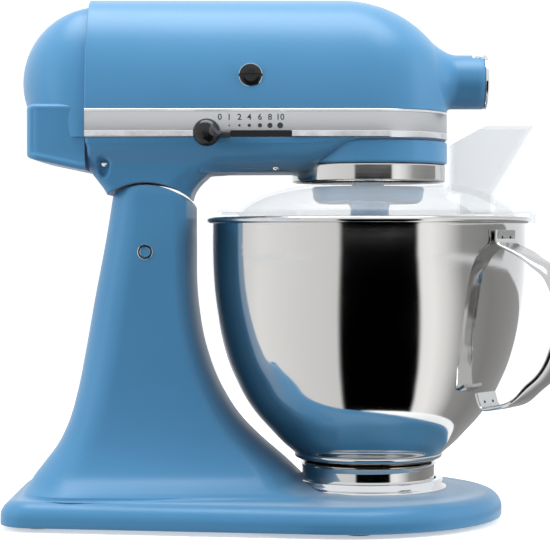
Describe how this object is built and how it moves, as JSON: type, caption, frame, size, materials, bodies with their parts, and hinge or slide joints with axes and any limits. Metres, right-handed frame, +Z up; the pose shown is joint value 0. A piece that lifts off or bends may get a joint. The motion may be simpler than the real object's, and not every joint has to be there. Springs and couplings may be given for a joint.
{
  "type": "stand mixer",
  "caption": "Tilt-head stand mixer with a steel bowl and strap handle, clear pouring shield with chute, attachment hub, flat beater and full drive train.",
  "frame": {"origin": "on the floor, below the axis of the bowl", "axes": "+X towards the attachment hub, -Y the side with the speed lever, +Z up"},
  "size_m": [0.376, 0.2292, 0.3531],
  "materials": {
    "painted_casting": "satin enamel over a die casting",
    "dark_rubber": "matt",
    "chrome_trim": "polished",
    "brushed_trim": "brushed",
    "polished_steel": "mirror polished",
    "black_plastic": "glossy",
    "clear_plastic": "clear",
    "grey_plastic": "moulded",
    "zinc_screw": "plated",
    "gear_steel": "machined",
    "copper_winding": "enamelled",
    "bearing_bronze": "sintered",
    "carbon": "pressed",
    "laminated_steel": "stacked",
    "circuit_board": "board",
    "coated_casting": "white coated"
  },
  "bodies": {
    "base": {"pedestal": "painted_casting", "rubber_feet": "dark_rubber", "bowl_clamp_plate": "chrome_trim", "clamp_plate_screws": "zinc_screw", "hinge_pin": "chrome_trim"},
    "head": {"motor_housing": "painted_casting", "rear_cover": "painted_casting", "rear_cover_screw": "zinc_screw", "lower_gearcase": "painted_casting", "trim_band": "brushed_trim", "drip_ring": "chrome_trim", "brush_caps": "black_plastic", "carbon_brushes": "carbon", "brush_springs": "zinc_screw", "motor_stator": "laminated_steel", "field_coils": "copper_winding", "motor_bearings": "bearing_bronze", "rear_bearing_bracket": "zinc_screw", "front_bearing_bracket": "zinc_screw", "ring_gear": "gear_steel", "worm_wheel_bracket": "gear_steel", "hub_cover_pin": "zinc_screw", "speed_control_plate": "grey_plastic", "control_board": "circuit_board"},
    "armature": {"armature_shaft": "gear_steel", "armature_core": "laminated_steel", "commutator": "copper_winding", "cooling_fan": "grey_plastic", "worm": "gear_steel"},
    "worm_gear": {"worm_wheel": "bearing_bronze", "wheel_shaft": "gear_steel", "drive_pinion": "gear_steel"},
    "planetary_head": {"centre_gear": "gear_steel", "centre_bevel": "gear_steel", "centre_shaft": "gear_steel", "planetary": "painted_casting"},
    "beater": {"beater_shaft": "polished_steel", "beater_shaft_pin": "zinc_screw", "planet_pinion": "gear_steel", "flat_beater": "coated_casting"},
    "hub_drive": {"hub_bevel": "gear_steel", "hub_spindle": "gear_steel"},
    "hub_flap": {"hub_cover": "chrome_trim"},
    "hub_knob": {"attachment_knob": "black_plastic"},
    "speed_control": {"speed_knob": "black_plastic", "speed_lever": "grey_plastic"},
    "head_lock": {"lock_lever": "black_plastic"},
    "mixing_bowl": {"bowl": "polished_steel", "bowl_foot": "polished_steel", "bowl_handle": "polished_steel"},
    "shield": {"pouring_shield": "clear_plastic", "pour_chute": "clear_plastic"}
  },
  "joints": [
    {"name": "head_tilt", "type": "hinge", "parent": "base", "child": "head", "pos_m": [-0.1502, 0, 0.1818], "axis": [0, -1, 0], "range_deg": [0, 35]},
    {"name": "speed_lever_slide", "type": "slide", "parent": "head", "child": "speed_control", "axis": [1, 0, 0], "range_m": [0, 0.0397]},
    {"name": "lock_lever_slide", "type": "slide", "parent": "head", "child": "head_lock", "axis": [1, 0, 0], "range_m": [0, 0.012]},
    {"name": "planetary_spin", "type": "hinge", "parent": "head", "child": "planetary_head", "pos_m": [0, 0, 0.22], "axis": [0, 0, 1], "continuous": true},
    {"name": "beater_spin", "type": "hinge", "parent": "planetary_head", "child": "beater", "pos_m": [0, -0.0225, 0.22], "axis": [0, 0, 1], "continuous": true},
    {"name": "worm_wheel_spin", "type": "hinge", "parent": "head", "child": "worm_gear", "pos_m": [-0.02958, 0.023, 0.28], "axis": [0, 0, 1], "continuous": true},
    {"name": "armature_spin", "type": "hinge", "parent": "head", "child": "armature", "pos_m": [-0.1, 0, 0.2979], "axis": [1, 0, 0], "continuous": true},
    {"name": "hub_drive_spin", "type": "hinge", "parent": "head", "child": "hub_drive", "pos_m": [0.03, 0, 0.2979], "axis": [1, 0, 0], "continuous": true},
    {"name": "hub_cover_hinge", "type": "hinge", "parent": "head", "child": "hub_flap", "pos_m": [0.076, 0, 0.3132], "axis": [0, -1, 0], "range_deg": [0, 100]},
    {"name": "attachment_knob_turn", "type": "hinge", "parent": "head", "child": "hub_knob", "pos_m": [0.064, 0.02, 0.2979], "axis": [0, 1, 0], "continuous": true},
    {"name": "bowl_twist", "type": "hinge", "parent": "base", "child": "mixing_bowl", "pos_m": [0, 0, 0.03], "axis": [0, 0, 1], "range_deg": [0, 25]},
    {"name": "shield_turn", "type": "hinge", "parent": "head", "child": "shield", "pos_m": [0, 0, 0.22], "axis": [0, 0, 1], "range_deg": [-20, 20]}
  ],
  "couplings": [
    {"joint": "beater_spin", "follows": "planetary_spin", "ratio": -3},
    {"joint": "worm_wheel_spin", "follows": "planetary_spin", "ratio": -1.5},
    {"joint": "armature_spin", "follows": "planetary_spin", "ratio": 30},
    {"joint": "hub_drive_spin", "follows": "planetary_spin", "ratio": 1}
  ]
}
